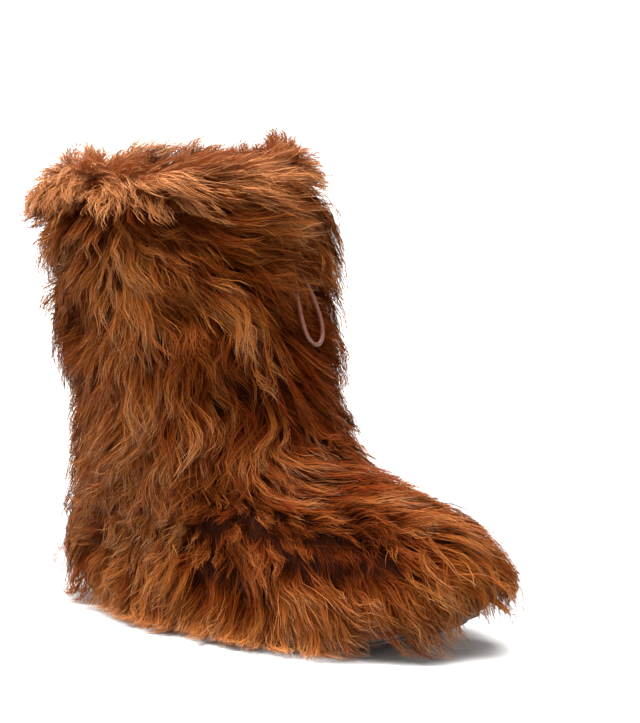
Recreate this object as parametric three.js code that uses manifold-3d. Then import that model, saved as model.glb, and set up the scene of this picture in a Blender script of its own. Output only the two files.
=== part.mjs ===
// A right-foot sheepskin ankle boot worn hair side out: a hollow hide upper on a lugged rubber outsole,
// a suede rand round its foot, a sheared footbed, a long fleece of hanging locks in three pieces and a
// drawcord loop at the front.
// Millimetres, +Z up, +X to the toe, +Y to the wearer's left. The origin is on the floor under the
// middle of the heel.
import * as THREE from "three";
import { mergeVertices } from "three/addons/utils/BufferGeometryUtils.js";
import Module from "manifold-3d";

const wasm = await Module();
wasm.setup();

// Driving dimensions
const FOOT_LENGTH = 266; // back of the heel to tip of the toe, over the hide
const BALL_WIDTH = 99; // over the hide, at the ball of the foot
const COLLAR_HEIGHT = 253; // floor to the hide's top edge at the front
const HIDE = 3; // wall of the upper
const GAP = 0.3; // clearance between pieces that meet

// Sole
const LUG_HEIGHT = 3;
const LUG_PITCH = 14;
const LUG_LENGTH = 8;
const LUG_DRAFT = 0.5; // slope of a lug's walls
const PLATE = 3.5; // rubber above the lugs
const SOLE_INSET = 1; // outsole edge inside the upper's bottom edge
const LUG_INSET = 2; // lugs inside the outsole edge
const TOE_SPRING = 16;
const SPRING_START = 0.7; // share of the length where the toe starts to rise
const HEEL_ROUND = 2; // rise of the outsole at the very back
const HEEL_ROUND_SHARE = 0.1;
const ARCH_RISE = 2;
const ARCH_SHARES = [0.3, 0.52];
const FEATHER_HEIGHT = 9; // bottom edge of the upper above the floor

// Footbed
const FOOTBED_THICK = 5;
const FOOTBED_CUP = 1.5; // raised rim

// Fleece
const FLEECE_BASE = 12; // packed part of the hair, off the hide
const OVERHANG = 12.8; // where the hair of one piece hangs over the next
const LOCK_LIFT = 21; // how far a lock's tip stands off the hide
const LOCK_LENGTH = 46;
const LOCK_WIDTH = 32;

// Drawcord
const CORD_RADIUS = 1.25;
const CORD_CLEARANCE = 0.9;

// How many faces go round each piece
const AROUND = 28;
const UP = 15;

// The last, from the bottom edge to the collar. back and front are the ends of a section in foot lengths
// from the heel's middle, backUp and frontUp their heights in collar heights, lateral and medial the
// half-widths in ball widths. heel is the heel's share of the full width, blunt squares the ends where it
// is under 1, swing turns the toe inwards in ball widths, waist is the share drawn in on the medial side,
// and tilt is 0 where the section follows the sole's curve and 1 where it is a flat slope.
const COLUMNS = [
  "back", "backUp", "front", "frontUp", "lateral", "medial", "heel", "blunt", "swing", "waist", "tilt",
];
const SECTION_ROWS = {
  feather: [-0.154, 0.0356, 0.816, 0.099, 0.505, 0.455, 0.72, 0.62, 0.06, 0.1, 0],
  bulge: [-0.165, 0.095, 0.835, 0.154, 0.525, 0.475, 0.72, 0.62, 0.06, 0.09, 0],
  toeBox: [-0.162, 0.158, 0.805, 0.217, 0.505, 0.465, 0.75, 0.64, 0.06, 0.07, 0.2],
  vamp: [-0.15, 0.221, 0.692, 0.273, 0.48, 0.445, 0.82, 0.68, 0.04, 0.04, 0.55],
  instep: [-0.135, 0.285, 0.526, 0.324, 0.47, 0.445, 0.9, 0.76, 0.02, 0.01, 0.85],
  throat: [-0.112, 0.364, 0.425, 0.395, 0.475, 0.455, 0.98, 0.86, 0.01, 0, 1],
  ankle: [-0.107, 0.482, 0.4, 0.522, 0.495, 0.475, 1, 0.94, 0, 0, 1],
  calf: [-0.13, 0.64, 0.385, 0.68, 0.525, 0.505, 1, 1, 0, 0, 1],
  channel: [-0.158, 0.814, 0.357, 0.846, 0.535, 0.525, 1, 1, 0, 0, 1],
  collar: [-0.173, 0.98, 0.331, 1, 0.575, 0.565, 1, 1, 0, 0, 1],
};
const SECTIONS = Object.values(SECTION_ROWS).map((row) =>
  Object.fromEntries(COLUMNS.map((key, k) => [key, row[k]])),
);
const WIDEST_SHARE = 0.68; // where along a section the ball is
const WAIST_SHARE = 0.4; // where the medial side is drawn in
const SWING_START = 0.55;
const END_SPREAD = 1.45; // gathers the points of a section at its round ends

// Levels of the upper, counted up from the bottom edge, where its outer pieces begin and end
const RAND_TOP = 2 / UP;
const FOOT_FLEECE = [2, 9];
const SHAFT_FLEECE = [9, 13];
const PARTING = 0.002; // half the gap between two pieces of fleece, as a share of the way up

// The loop's route out of the hide, down over the fleece and back in, from the lateral end to the medial
// end
const CORD_ROUTE = [
  [97.2, -0.5, 206], [99.8, -1, 204.8], [102.8, -2, 200.8], [106.2, -3.4, 194],
  [109.2, -4.8, 186.5], [111.8, -5.6, 179], [114, -5.4, 172], [115.7, -3.6, 166.2],
  [116.8, -0.4, 162.8], [117.2, 3.4, 162.4], [117, 6.6, 164.8], [116, 8.6, 169.6],
  [114.2, 9.2, 176], [111.6, 8.6, 183.6], [108.4, 7.4, 191.4], [104.8, 6.2, 198.6],
  [101, 5.2, 203.2], [97.6, 4.6, 205.4],
];
const CORD_STEPS = 20;

const lerp = THREE.MathUtils.lerp;
const clamp = (x) => Math.min(1, Math.max(0, x));

// A repeatable number from 0 to 1 for a pair of whole numbers.
function chance(i, j) {
  const x = Math.sin(i * 127.1 + j * 311.7 + 17.3) * 43758.5453;
  return x - Math.floor(x);
}

// One column of SECTIONS at the share v, as a smooth curve through the rows.
function column(key, v) {
  const last = SECTIONS.length - 1;
  const at = Math.min(clamp(v) * last, last - 1e-6);
  const i = Math.floor(at);
  const f = at - i;
  const near = [i - 1, i, i + 1, i + 2].map((k) => SECTIONS[Math.min(last, Math.max(0, k))]);
  const [p0, p1, p2, p3] = near.map((row) => row[key]);
  const square = 2 * p0 - 5 * p1 + 4 * p2 - p3;
  const cube = 3 * p1 - p0 - 3 * p2 + p3;
  return 0.5 * (2 * p1 + (p2 - p0) * f + square * f ** 2 + cube * f ** 3);
}

// The toe's rise along the sole, from 0 to 1.
const springCurve = (along) => clamp((along - SPRING_START) / (1 - SPRING_START)) ** 2;

// The angle of a point that is u of the way round: 0 at the back, a quarter on the lateral side, a half at
// the front.
function angleAround(u) {
  const turn = u - Math.floor(u);
  const half = turn <= 0.5 ? turn * 2 : (1 - turn) * 2;
  const eased = half ** END_SPREAD / (half ** END_SPREAD + (1 - half) ** END_SPREAD);
  return turn <= 0.5 ? Math.PI * eased : -Math.PI * eased;
}

// A point of the section at the share v, at an angle round it, drawn in by inset.
function sectionPoint(angle, v, inset = 0) {
  const get = (key) => column(key, v);
  const along = (1 - Math.cos(angle)) / 2;
  const side = Math.sin(angle);
  const back = get("back") * FOOT_LENGTH + inset;
  const front = get("front") * FOOT_LENGTH - inset;
  const half = get(side >= 0 ? "lateral" : "medial") * BALL_WIDTH;
  const ease = clamp(along / WIDEST_SHARE);
  const waist = side < 0 ? get("waist") * Math.exp(-(((along - WAIST_SHARE) / 0.16) ** 2)) : 0;
  const width = lerp(get("heel"), 1, ease * ease * (3 - 2 * ease)) - waist;
  const swing = get("swing") * BALL_WIDTH * clamp((along - SWING_START) / (1 - SWING_START)) ** 2;
  const rise = lerp(springCurve(along), along, get("tilt"));
  return new THREE.Vector3(
    lerp(back, front, along),
    swing - Math.sign(side) * (half * width - inset) * Math.abs(side) ** get("blunt"),
    lerp(get("backUp"), get("frontUp"), rise) * COLLAR_HEIGHT,
  );
}

const skin = (u, v) => sectionPoint(angleAround(u), v);

// The outward direction of the hide.
function outward(u, v) {
  const step = 2e-3;
  const low = Math.max(0, v - step);
  const high = Math.min(1, v + step);
  const roundWay = skin(u + step, v).sub(skin(u - step, v));
  const upWay = skin(u, high).sub(skin(u, low));
  return roundWay.cross(upWay).normalize();
}

// A point off the hide: offset along its outward direction, then rise straight up. Past either edge it goes
// straight on.
function off(u, v, offset, rise = 0) {
  const hang = Math.min(0, v) * COLLAR_HEIGHT + Math.max(0, v - 1) * COLLAR_HEIGHT;
  const at = clamp(v);
  const point = skin(u, at).addScaledVector(outward(u, at), offset);
  point.z += rise + hang;
  return point;
}

// A closed solid from points and triangles.
function solidOf(points, triangles) {
  const vertProperties = new Float32Array(points.flatMap((p) => [p.x, p.y, p.z]));
  const triVerts = new Uint32Array(triangles);
  return new wasm.Manifold(new wasm.Mesh({ numProp: 3, vertProperties, triVerts }));
}

// A ring-shaped solid: a closed profile of [v, offset, rise] carried round the boot.
function ringSolid(profile, around = AROUND) {
  const points = [];
  const triangles = [];
  const count = profile.length;
  for (let i = 0; i < around; i++) {
    for (let k = 0; k < count; k++) {
      points.push(off(i / around, ...profile[k]));
      const next = (k + 1) % count;
      const [a, b] = [i * count + k, i * count + next];
      const [c, d] = [((i + 1) % around) * count + k, ((i + 1) % around) * count + next];
      // Both walls of a gap are split along the same diagonal.
      const rising = profile[next][0] > profile[k][0];
      triangles.push(...(rising ? [a, c, b, b, c, d] : [a, c, d, a, d, b]));
    }
  }
  return solidOf(points, triangles);
}

// A solid through a row of closed sections with the same number of points, capped at both ends.
function loftSolid(sections) {
  const count = sections[0].length;
  const points = sections.flat();
  const triangles = [];
  for (let i = 0; i + 1 < sections.length; i++) {
    for (let k = 0; k < count; k++) {
      const next = (k + 1) % count;
      const [a, b] = [i * count + k, i * count + next];
      const [c, d] = [a + count, b + count];
      triangles.push(a, b, c, b, d, c);
    }
  }
  for (const [row, turned] of [[0, true], [sections.length - 1, false]]) {
    const middle = sections[row].reduce((sum, p) => sum.add(p), new THREE.Vector3()).divideScalar(count);
    const hub = points.push(middle) - 1;
    for (let k = 0; k < count; k++) {
      const [a, b] = [row * count + k, row * count + ((k + 1) % count)];
      triangles.push(hub, turned ? b : a, turned ? a : b);
    }
  }
  return solidOf(points, triangles);
}

// Evenly spaced shares from low to high, both included.
const shares = (low, high, steps) => Array.from({ length: steps + 1 }, (_, k) => lerp(low, high, k / steps));

// The hide: outer wall from the bottom edge to the collar, then the inner wall back down, open at both ends.
function upperSolid() {
  const levels = shares(0, 1, UP);
  const outer = levels.map((v) => [v, 0]);
  const inner = levels.toReversed().map((v) => [v, -HIDE]);
  return ringSolid([...outer, ...inner]);
}

// The suede rand: up the outside of the hide, bulged, and rolled in under its bottom edge.
function randSolid() {
  const outer = [[0, 1.6, -1.4], [0, 3, 0.6], [0.04, 3.4], [0.09, 3], [RAND_TOP, 2.2]];
  const inner = shares(0, RAND_TOP, 4).toReversed().map((v) => [v, GAP]);
  const under = [[0, GAP, -GAP], [0, -HIDE, -GAP], [0, -HIDE, -2.2], [0, -0.6, -2.2]];
  return ringSolid([...outer, ...inner, ...under]);
}

// The underside of the lugs above the floor, along the sole.
function floorRise(along) {
  const heel = HEEL_ROUND * clamp(1 - along / HEEL_ROUND_SHARE) ** 2;
  const arch = clamp((along - ARCH_SHARES[0]) / (ARCH_SHARES[1] - ARCH_SHARES[0]));
  return TOE_SPRING * springCurve(along) + heel + ARCH_RISE * Math.sin(Math.PI * arch) ** 2;
}

// The sole's two edges at a place along it: the share of the length, and the lateral and medial points.
function soleEdges(x, inset) {
  const back = SECTIONS[0].back * FOOT_LENGTH + inset;
  const front = SECTIONS[0].front * FOOT_LENGTH - inset;
  const along = (x - back) / (front - back);
  const angle = Math.acos(1 - 2 * along);
  return { along, lateral: sectionPoint(angle, 0, inset), medial: sectionPoint(-angle, 0, inset) };
}

// The top of the outsole at a place along it, which carries the footbed.
const soleTop = (x) => soleEdges(x, SOLE_INSET).lateral.z - FEATHER_HEIGHT + LUG_HEIGHT + PLATE;

// The outsole: a plate that follows the floor, with bars across it at an even pitch.
function outsoleSolid() {
  const ends = 0.4; // flat cut at the very tips
  const back = SECTIONS[0].back * FOOT_LENGTH + SOLE_INSET + ends;
  const front = SECTIONS[0].front * FOOT_LENGTH - SOLE_INSET - ends;
  const stations = [2.5, 6, 0].map((step) => [back + step, 0]);
  for (let middle = -LUG_PITCH * 2; middle < front - LUG_LENGTH; middle += LUG_PITCH) {
    const [start, stop] = [middle - LUG_LENGTH / 2, middle + LUG_LENGTH / 2];
    stations.push([start - LUG_DRAFT, 0], [start, LUG_HEIGHT], [stop, LUG_HEIGHT], [stop + LUG_DRAFT, 0]);
  }
  stations.push([front - 5, 0], [front - 2, 0], [front, 0]);
  stations.sort((a, b) => a[0] - b[0]);
  const sections = stations.map(([x, depth]) => {
    const { along, lateral, medial } = soleEdges(x, SOLE_INSET);
    const plate = floorRise(along) + LUG_HEIGHT;
    const top = soleTop(x);
    const inset = Math.min(LUG_INSET, (medial.y - lateral.y) / 8);
    const at = (y, z) => new THREE.Vector3(x, y, z);
    const low = plate - depth;
    return [
      at(lateral.y, top),
      at(lateral.y, plate),
      at(lateral.y + inset, plate),
      at(lateral.y + inset * 1.3, low),
      at(medial.y - inset * 1.3, low),
      at(medial.y - inset, plate),
      at(medial.y, plate),
      at(medial.y, top),
    ];
  });
  return loftSolid(sections);
}

// The footbed: lies on the outsole inside the hide, with a slightly raised rim.
function footbedSolid() {
  const inset = HIDE + 1.3;
  const ends = 0.6;
  const back = SECTIONS[0].back * FOOT_LENGTH + inset + ends;
  const front = SECTIONS[0].front * FOOT_LENGTH - inset - ends;
  const sections = shares(0, Math.PI, 18).map((turn) => {
    const x = lerp(back, front, (1 - Math.cos(turn)) / 2);
    const { lateral, medial } = soleEdges(x, inset);
    const bottom = soleTop(x) + GAP;
    const top = bottom + FOOTBED_THICK;
    const at = (share, z) => new THREE.Vector3(x, lerp(lateral.y, medial.y, share), z);
    const rim = top + FOOTBED_CUP;
    return [at(0, rim), at(0, bottom), at(1, bottom), at(1, rim), at(0.8, top), at(0.2, top)];
  });
  return loftSolid(sections);
}

// A tapered lock of hair: rooted inside the fleece at u, v, combed by turn from straight down, its tip
// lifted off.
function lockSolid({ u, v, turn, length, width, root, lift }) {
  const step = 4e-3;
  const perRound = skin(u + step, v).distanceTo(skin(u - step, v)) / (2 * step);
  const perRise = skin(u, v + step).distanceTo(skin(u, v - step)) / (2 * step);
  const overWay = (Math.sin(turn) * length) / perRound;
  const downWay = (Math.cos(turn) * length) / perRise;
  const at = (t) => [u + overWay * t, v - downWay * t];
  const rows = [[0, 0.5, 3], [0.5, 0.42, 4.5]]; // share of the length, half-width share, half-depth
  const points = [];
  const triangles = [];
  rows.forEach(([t, half, depth], row) => {
    const [ut, vt] = at(t);
    const [ua, va] = at(t + 0.03);
    const middle = off(ut, vt, lerp(root, lift, t ** 1.4));
    const way = off(ua, va, lerp(root, lift, (t + 0.03) ** 1.4)).sub(middle).normalize();
    const out = outward(ut, clamp(vt));
    const side = new THREE.Vector3().crossVectors(out, way).normalize();
    const wide = half * width;
    points.push(
      middle.clone().addScaledVector(side, wide),
      middle.clone().addScaledVector(out, depth),
      middle.clone().addScaledVector(side, -wide),
      off(ut, vt, root - 2),
    );
    for (let k = 0; row && k < 4; k++) {
      const [c, d] = [row * 4 + k, row * 4 + ((k + 1) % 4)];
      triangles.push(c - 4, d - 4, c, d - 4, d, c);
    }
  });
  const tip = points.push(off(...at(1), lift)) - 1;
  const lastRow = (rows.length - 1) * 4;
  for (let k = 0; k < 4; k++) triangles.push(tip, lastRow + k, lastRow + ((k + 1) % 4));
  triangles.push(0, 3, 1, 1, 3, 2);
  return solidOf(points, triangles);
}

// Places evenly spaced along the hide round the boot at a share v of the way up, from a start share of one
// space.
function evenPlaces(v, count, start) {
  const fine = 120;
  const ring = shares(0, 1, fine).map((u) => skin(u, v));
  const lengths = ring.map((p, k) => (k ? p.distanceTo(ring[k - 1]) : 0));
  const total = lengths.reduce((sum, x) => sum + x);
  let walked = 0;
  let k = 0;
  return shares(0, count - 1, count - 1).map((place) => {
    const target = ((place + start) / count) * total;
    while (walked + lengths[k + 1] < target) walked += lengths[++k];
    return (k + (target - walked) / lengths[k + 1]) / fine;
  });
}

// Tiers of staggered locks, each tier at a share v of the way up, with count locks round it.
function lockTiers(tiers) {
  return tiers.flatMap((tier, row) =>
    evenPlaces(tier.v, tier.count, (row % 2) * 0.5 + 0.2).map((u, k) =>
      lockSolid({
        u: u + (chance(row, k) - 0.5) * 0.012,
        v: tier.v + (chance(k, row + 7) - 0.5) * 0.02,
        turn: tier.turn + (chance(row + 3, k) - 0.5) * 0.6,
        length: tier.length * (0.85 + 0.3 * chance(k + 5, row)),
        width: tier.width ?? LOCK_WIDTH,
        root: tier.root ?? FLEECE_BASE * 0.55,
        lift: tier.lift * (0.85 + 0.3 * chance(row, k + 11)),
      }),
    ),
  );
}

// The hair's packed base between two levels of the upper: outer depths given, inner side a gap off the hide.
function fleeceBase([low, high], depth) {
  const levels = shares(low, high, high - low).map((level) => level / UP);
  levels[0] += PARTING;
  levels[levels.length - 1] -= PARTING;
  const outer = levels.map((v, k) => [v, depth(k)]);
  const inner = levels.toReversed().map((v) => [v, GAP]);
  return ringSolid([...outer, ...inner]);
}

// The space between two depths off the hide, from one share of the way up to another.
function band(low, high, inner, outer) {
  const levels = shares(low, high, 3);
  return ringSolid([...levels.map((v) => [v, outer]), ...levels.toReversed().map((v) => [v, inner])]);
}

// Hair that hangs over the piece below lies outside OVERHANG, and the hair of that piece inside it.
const hangingOver = (fleece, low, edge) => fleece.subtract(band(low, edge, -2, OVERHANG + GAP));
const hungOver = (fleece, low, edge) => fleece.subtract(band(low, edge + 2 * PARTING, OVERHANG - GAP, 60));

const joined = (solids) => solids.reduce((all, one) => all.add(one));

// The fleece of the foot: thin along the rand, full over the vamp and heel.
function footFleeceSolid() {
  const depths = [5, 8.5, 10, 10, 11, FLEECE_BASE, FLEECE_BASE, FLEECE_BASE];
  const base = fleeceBase(FOOT_FLEECE, (k) => depths[k]);
  const tiers = [
    { v: 0.22, count: 14, turn: 0, length: 30, lift: 13 },
    { v: 0.33, count: 10, turn: 0, length: 42, lift: 17 },
    { v: 0.46, count: 8, turn: 0, length: 42, lift: 18 },
  ];
  return hungOver(joined([base, ...lockTiers(tiers)]), 0.44, FOOT_FLEECE[1] / UP);
}

// The fleece of the shaft, from the ankle to the drawcord.
function shaftFleeceSolid() {
  const base = fleeceBase(SHAFT_FLEECE, () => FLEECE_BASE);
  const tiers = [0.65, 0.715, 0.775, 0.83].map((v, row) => ({
    v,
    count: row ? 8 : 9,
    root: row ? undefined : 13,
    turn: 0.25 * Math.sin(row * 1.7),
    length: row ? LOCK_LENGTH : 38,
    lift: LOCK_LIFT,
  }));
  const [low, high] = SHAFT_FLEECE.map((level) => level / UP);
  return hungOver(hangingOver(joined([base, ...lockTiers(tiers)]), 0.38, low), 0.8, high);
}

// The fleece of the collar: over the outside of the hide above the drawcord and up past its top edge.
function collarFleeceSolid() {
  const low = SHAFT_FLEECE[1] / UP + PARTING;
  const side = [[low, 13], [0.905, 18], [0.955, 21]];
  const crown = [[1, 18, 3], [1, 12, 11], [1, 5, 14], [1, -0.5, 11], [1, -HIDE, 4]];
  const inner = [[1, -HIDE, 2 * GAP], [1, GAP, 2 * GAP], [14 / UP, GAP], [low, GAP]];
  const base = ringSolid([...side, ...crown, ...inner]);
  const tiers = [
    { v: 0.925, count: 9, turn: 0.3, length: 36, lift: 25, root: 14 },
    { v: 0.975, count: 9, turn: -0.2, length: 34, lift: 27, root: 14 },
    { v: 0.98, count: 9, turn: Math.PI - 0.7, length: 38, lift: 17, root: 9, width: 40 },
  ];
  return hangingOver(joined([base, ...lockTiers(tiers)]), 0.78, SHAFT_FLEECE[1] / UP);
}

// A round cord along CORD_ROUTE. deeper carries both ends further into the boot.
function cordSolid(radius, deeper = 0) {
  const route = CORD_ROUTE.map((p) => new THREE.Vector3(...p));
  if (deeper) {
    route.unshift(route[0].clone().setX(route[0].x - deeper));
    route.push(route.at(-1).clone().setX(route.at(-1).x - deeper));
  }
  const path = new THREE.CatmullRomCurve3(route);
  const ring = new THREE.Shape().absarc(0, 0, radius, 0, Math.PI * 2);
  const tube = new THREE.ExtrudeGeometry(ring, { steps: CORD_STEPS, curveSegments: 4, extrudePath: path });
  tube.deleteAttribute("normal");
  tube.deleteAttribute("uv");
  const merged = mergeVertices(tube, 1e-3);
  const place = merged.getAttribute("position");
  const numbers = shares(0, place.count - 1, place.count - 1);
  const points = numbers.map((i) => new THREE.Vector3().fromBufferAttribute(place, Math.round(i)));
  return solidOf(points, merged.index.array);
}

// A named mesh of one solid in one finish.
function piece(name, solid, finish) {
  const mesh = solid.getMesh();
  const geometry = new THREE.BufferGeometry();
  geometry.setAttribute("position", new THREE.BufferAttribute(new Float32Array(mesh.vertProperties), 3));
  geometry.setIndex(new THREE.BufferAttribute(new Uint32Array(mesh.triVerts), 1));
  geometry.computeVertexNormals();
  const made = new THREE.Mesh(geometry, new THREE.MeshStandardMaterial({ metalness: 0, ...finish }));
  made.name = name;
  return made;
}

const RUBBER = { color: 0x2f1c14, roughness: 0.7 };
const SUEDE = { color: 0x7a4229, roughness: 0.95 };
const HIDE_FINISH = { color: 0x74401f, roughness: 0.9 };
const FOOTBED_FINISH = { color: 0x8a5228, roughness: 1 };
const FLEECE_FINISH = { color: 0x8b4a1e, roughness: 1 };
const CORD_FINISH = { color: 0x8f5f4c, roughness: 0.6 };

const cordChannel = cordSolid(CORD_RADIUS + CORD_CLEARANCE, 3);

const boot = new THREE.Group();
boot.name = "sheepskin_ankle_boot";
boot.add(
  piece("outsole", outsoleSolid(), RUBBER),
  piece("rand", randSolid(), SUEDE),
  piece("footbed", footbedSolid(), FOOTBED_FINISH),
  piece("upper", upperSolid(), HIDE_FINISH),
  piece("foot_fleece", footFleeceSolid(), FLEECE_FINISH),
  piece("shaft_fleece", shaftFleeceSolid().subtract(cordChannel), FLEECE_FINISH),
  piece("collar_fleece", collarFleeceSolid().subtract(cordChannel), FLEECE_FINISH),
  piece("drawcord_loop", cordSolid(CORD_RADIUS), CORD_FINISH),
);

export default boot;
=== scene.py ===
"""A right-foot sheepskin ankle boot worn hair side out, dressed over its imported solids.

Lengths below are millimetres in the shoe's own frame, turned to metres where a mesh is made: +X to the toe,
+Y to the wearer's left, +Z up, origin on the floor under the middle of the heel.
"""
import math

import bpy
import numpy as np
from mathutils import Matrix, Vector


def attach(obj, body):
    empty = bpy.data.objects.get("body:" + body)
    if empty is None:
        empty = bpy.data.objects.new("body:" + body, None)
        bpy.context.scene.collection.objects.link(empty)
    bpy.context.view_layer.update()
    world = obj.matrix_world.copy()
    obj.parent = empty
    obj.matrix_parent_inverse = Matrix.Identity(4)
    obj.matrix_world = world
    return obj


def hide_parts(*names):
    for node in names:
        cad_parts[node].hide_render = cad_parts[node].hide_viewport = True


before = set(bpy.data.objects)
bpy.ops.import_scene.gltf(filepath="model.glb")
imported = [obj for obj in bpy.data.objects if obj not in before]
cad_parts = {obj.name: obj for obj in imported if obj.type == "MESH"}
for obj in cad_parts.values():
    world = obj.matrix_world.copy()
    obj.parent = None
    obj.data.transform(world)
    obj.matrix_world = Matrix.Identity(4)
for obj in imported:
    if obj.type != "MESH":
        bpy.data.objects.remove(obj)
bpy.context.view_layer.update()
MM = 0.001

# Sizes of the shoe, as in its solids
FOOT_LENGTH = 266.0
BALL_WIDTH = 99.0
COLLAR_HEIGHT = 253.0
HIDE = 3.0
FEATHER_HEIGHT = 9.0
LUG_HEIGHT = 3.0
LUG_PITCH = 14.0
LUG_LENGTH = 8.0
PLATE = 3.5
FOOTBED = 4.6
SOLE_INSET = 1.0
LUG_INSET = 2.0
TOE_SPRING = 16.0
SPRING_START = 0.7
HEEL_SHARE = 0.1
HEEL_RISE = 2.0
ARCH_START = 0.3
ARCH_SPAN = 0.22
ARCH_RISE = 2.0
RAND_TOP = 2 / 15
ANKLE = 9 / 15
CHANNEL = 13 / 15

# One row for each section of the last from the bottom edge to the collar. Columns: back, back height, front,
# front height, lateral, medial, heel, blunt, swing, waist, tilt.
SECTIONS = np.array([
    [-0.154, 0.0356, 0.816, 0.099, 0.505, 0.455, 0.72, 0.62, 0.06, 0.10, 0.00],  # feather
    [-0.165, 0.0950, 0.835, 0.154, 0.525, 0.475, 0.72, 0.62, 0.06, 0.09, 0.00],  # bulge
    [-0.162, 0.1580, 0.805, 0.217, 0.505, 0.465, 0.75, 0.64, 0.06, 0.07, 0.20],  # toe box
    [-0.150, 0.2210, 0.692, 0.273, 0.480, 0.445, 0.82, 0.68, 0.04, 0.04, 0.55],  # vamp
    [-0.135, 0.2850, 0.526, 0.324, 0.470, 0.445, 0.90, 0.76, 0.02, 0.01, 0.85],  # instep
    [-0.112, 0.3640, 0.425, 0.395, 0.475, 0.455, 0.98, 0.86, 0.01, 0.00, 1.00],  # throat
    [-0.107, 0.4820, 0.400, 0.522, 0.495, 0.475, 1.00, 0.94, 0.00, 0.00, 1.00],  # ankle
    [-0.130, 0.6400, 0.385, 0.680, 0.525, 0.505, 1.00, 1.00, 0.00, 0.00, 1.00],  # calf
    [-0.158, 0.8140, 0.357, 0.846, 0.535, 0.525, 1.00, 1.00, 0.00, 0.00, 1.00],  # channel
    [-0.173, 0.9800, 0.331, 1.000, 0.575, 0.565, 1.00, 1.00, 0.00, 0.00, 1.00],  # collar
])
WIDEST_SHARE = 0.68
WAIST_SHARE = 0.4
WAIST_SPAN = 0.16
SWING_START = 0.55
END_SPREAD = 1.45

# The drawcord loop's route, from its lateral end to its medial end
CORD_ROUTE = np.array([
    [97.2, -0.5, 206], [99.8, -1, 204.8], [102.8, -2, 200.8], [106.2, -3.4, 194],
    [109.2, -4.8, 186.5], [111.8, -5.6, 179], [114, -5.4, 172], [115.7, -3.6, 166.2],
    [116.8, -0.4, 162.8], [117.2, 3.4, 162.4], [117, 6.6, 164.8], [116, 8.6, 169.6],
    [114.2, 9.2, 176], [111.6, 8.6, 183.6], [108.4, 7.4, 191.4], [104.8, 6.2, 198.6],
    [101, 5.2, 203.2], [97.6, 4.6, 205.4],
])
CORD_RADIUS = 1.25  # and its sides, steps between two points of the route, and unevenness
CORD_SIDES = 12
CORD_STEPS = 8
UNEVEN = 0.05


# Shapes

def size(vectors):
    """Each vector's length."""
    return np.linalg.norm(vectors, axis=-1)


def unit(vectors):
    """Each vector divided by its length."""
    return vectors / np.maximum(size(vectors)[..., None], 1e-9)


def part_way(x, start, span):
    """How far x is past start in parts of span, kept between 0 and 1."""
    return np.clip((x - start) / span, 0, 1)


def bell(x):
    """exp(-x²)."""
    return np.exp(-x ** 2)


def ease(x):
    """0 to 1 with level ends: 3x² - 2x³."""
    x = np.clip(x, 0, 1)
    return x * x * (3 - 2 * x)


def mix(a, b, share):
    """a + (b - a) · share."""
    return a + (b - a) * share


def through(p0, p1, p2, p3, share):
    """A Catmull-Rom curve at a share of the way from p1 to p2, with p0 before them and p3 after."""
    square = 2 * p0 - 5 * p1 + 4 * p2 - p3
    cube = 3 * p1 - p0 - 3 * p2 + p3
    return 0.5 * (2 * p1 + (p2 - p0) * share + square * share ** 2 + cube * share ** 3)


def section(v):
    """The columns of SECTIONS at shares v of the way up: a Catmull-Rom curve through the rows."""
    last = len(SECTIONS) - 1
    at = np.clip(v, 0, 1) * last
    i = np.minimum(at.astype(int), last - 1)
    rows = (SECTIONS[np.clip(i + k, 0, last)] for k in (-1, 0, 1, 2))
    return through(*rows, (at - i)[..., None])


def last_point(angle, v, inset=0.0):
    """A point of the last, drawn in by inset: along = (1 - cos angle)/2 runs from heel to toe, and the
    half-width goes with |sin angle| to the power blunt. The medial side is drawn in at the waist by a bell.
    Past the ball the toe swings inwards with the square of the way on, and the height follows the toe spring
    where tilt is 0 and a straight slope where it is 1."""
    columns = np.moveaxis(section(v), -1, 0)
    back, back_up, front, front_up, lateral, medial, heel, blunt, swing, waist, tilt = columns
    along = (1 - np.cos(angle)) / 2
    side = np.sin(angle)
    half = np.where(side >= 0, lateral, medial) * BALL_WIDTH
    drawn_in = np.where(side < 0, waist * bell((along - WAIST_SHARE) / WAIST_SPAN), 0)
    width = mix(heel, 1, ease(along / WIDEST_SHARE)) - drawn_in
    turn_in = swing * BALL_WIDTH * part_way(along, SWING_START, 1 - SWING_START) ** 2
    spring = part_way(along, SPRING_START, 1 - SPRING_START) ** 2
    x = mix(back * FOOT_LENGTH + inset, front * FOOT_LENGTH - inset, along)
    y = turn_in - np.sign(side) * (half * width - inset) * np.abs(side) ** blunt
    z = mix(back_up, front_up, mix(spring, along, tilt)) * COLLAR_HEIGHT
    return np.stack([x, y, z], -1)


def hide(u, v):
    """The hide's outer face at u of the way round and v of the way up. u is 0 at the back, a quarter on the
    lateral side and a half at the front, with the points gathered at the round ends."""
    u, v = np.broadcast_arrays(np.asarray(u, float), np.asarray(v, float))
    turn = np.mod(u, 1)
    half = 1 - np.abs(1 - 2 * turn)
    eased = half ** END_SPREAD / (half ** END_SPREAD + (1 - half) ** END_SPREAD)
    return last_point(np.where(turn <= 0.5, 1, -1) * np.pi * eased, v)


def hide_frame(u, v):
    """The hide's point, its outward direction, and its steps for a whole turn of u and a whole rise of v,
    by central differences."""
    step = 2e-3
    v = np.clip(v, 0, 1)
    low, high = np.maximum(v - step, 0), np.minimum(v + step, 1)
    round_way = (hide(u + step, v) - hide(u - step, v)) / (2 * step)
    up_way = (hide(u, high) - hide(u, low)) / (high - low)[..., None]
    return hide(u, v), unit(np.cross(round_way, up_way)), round_way, up_way


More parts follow.
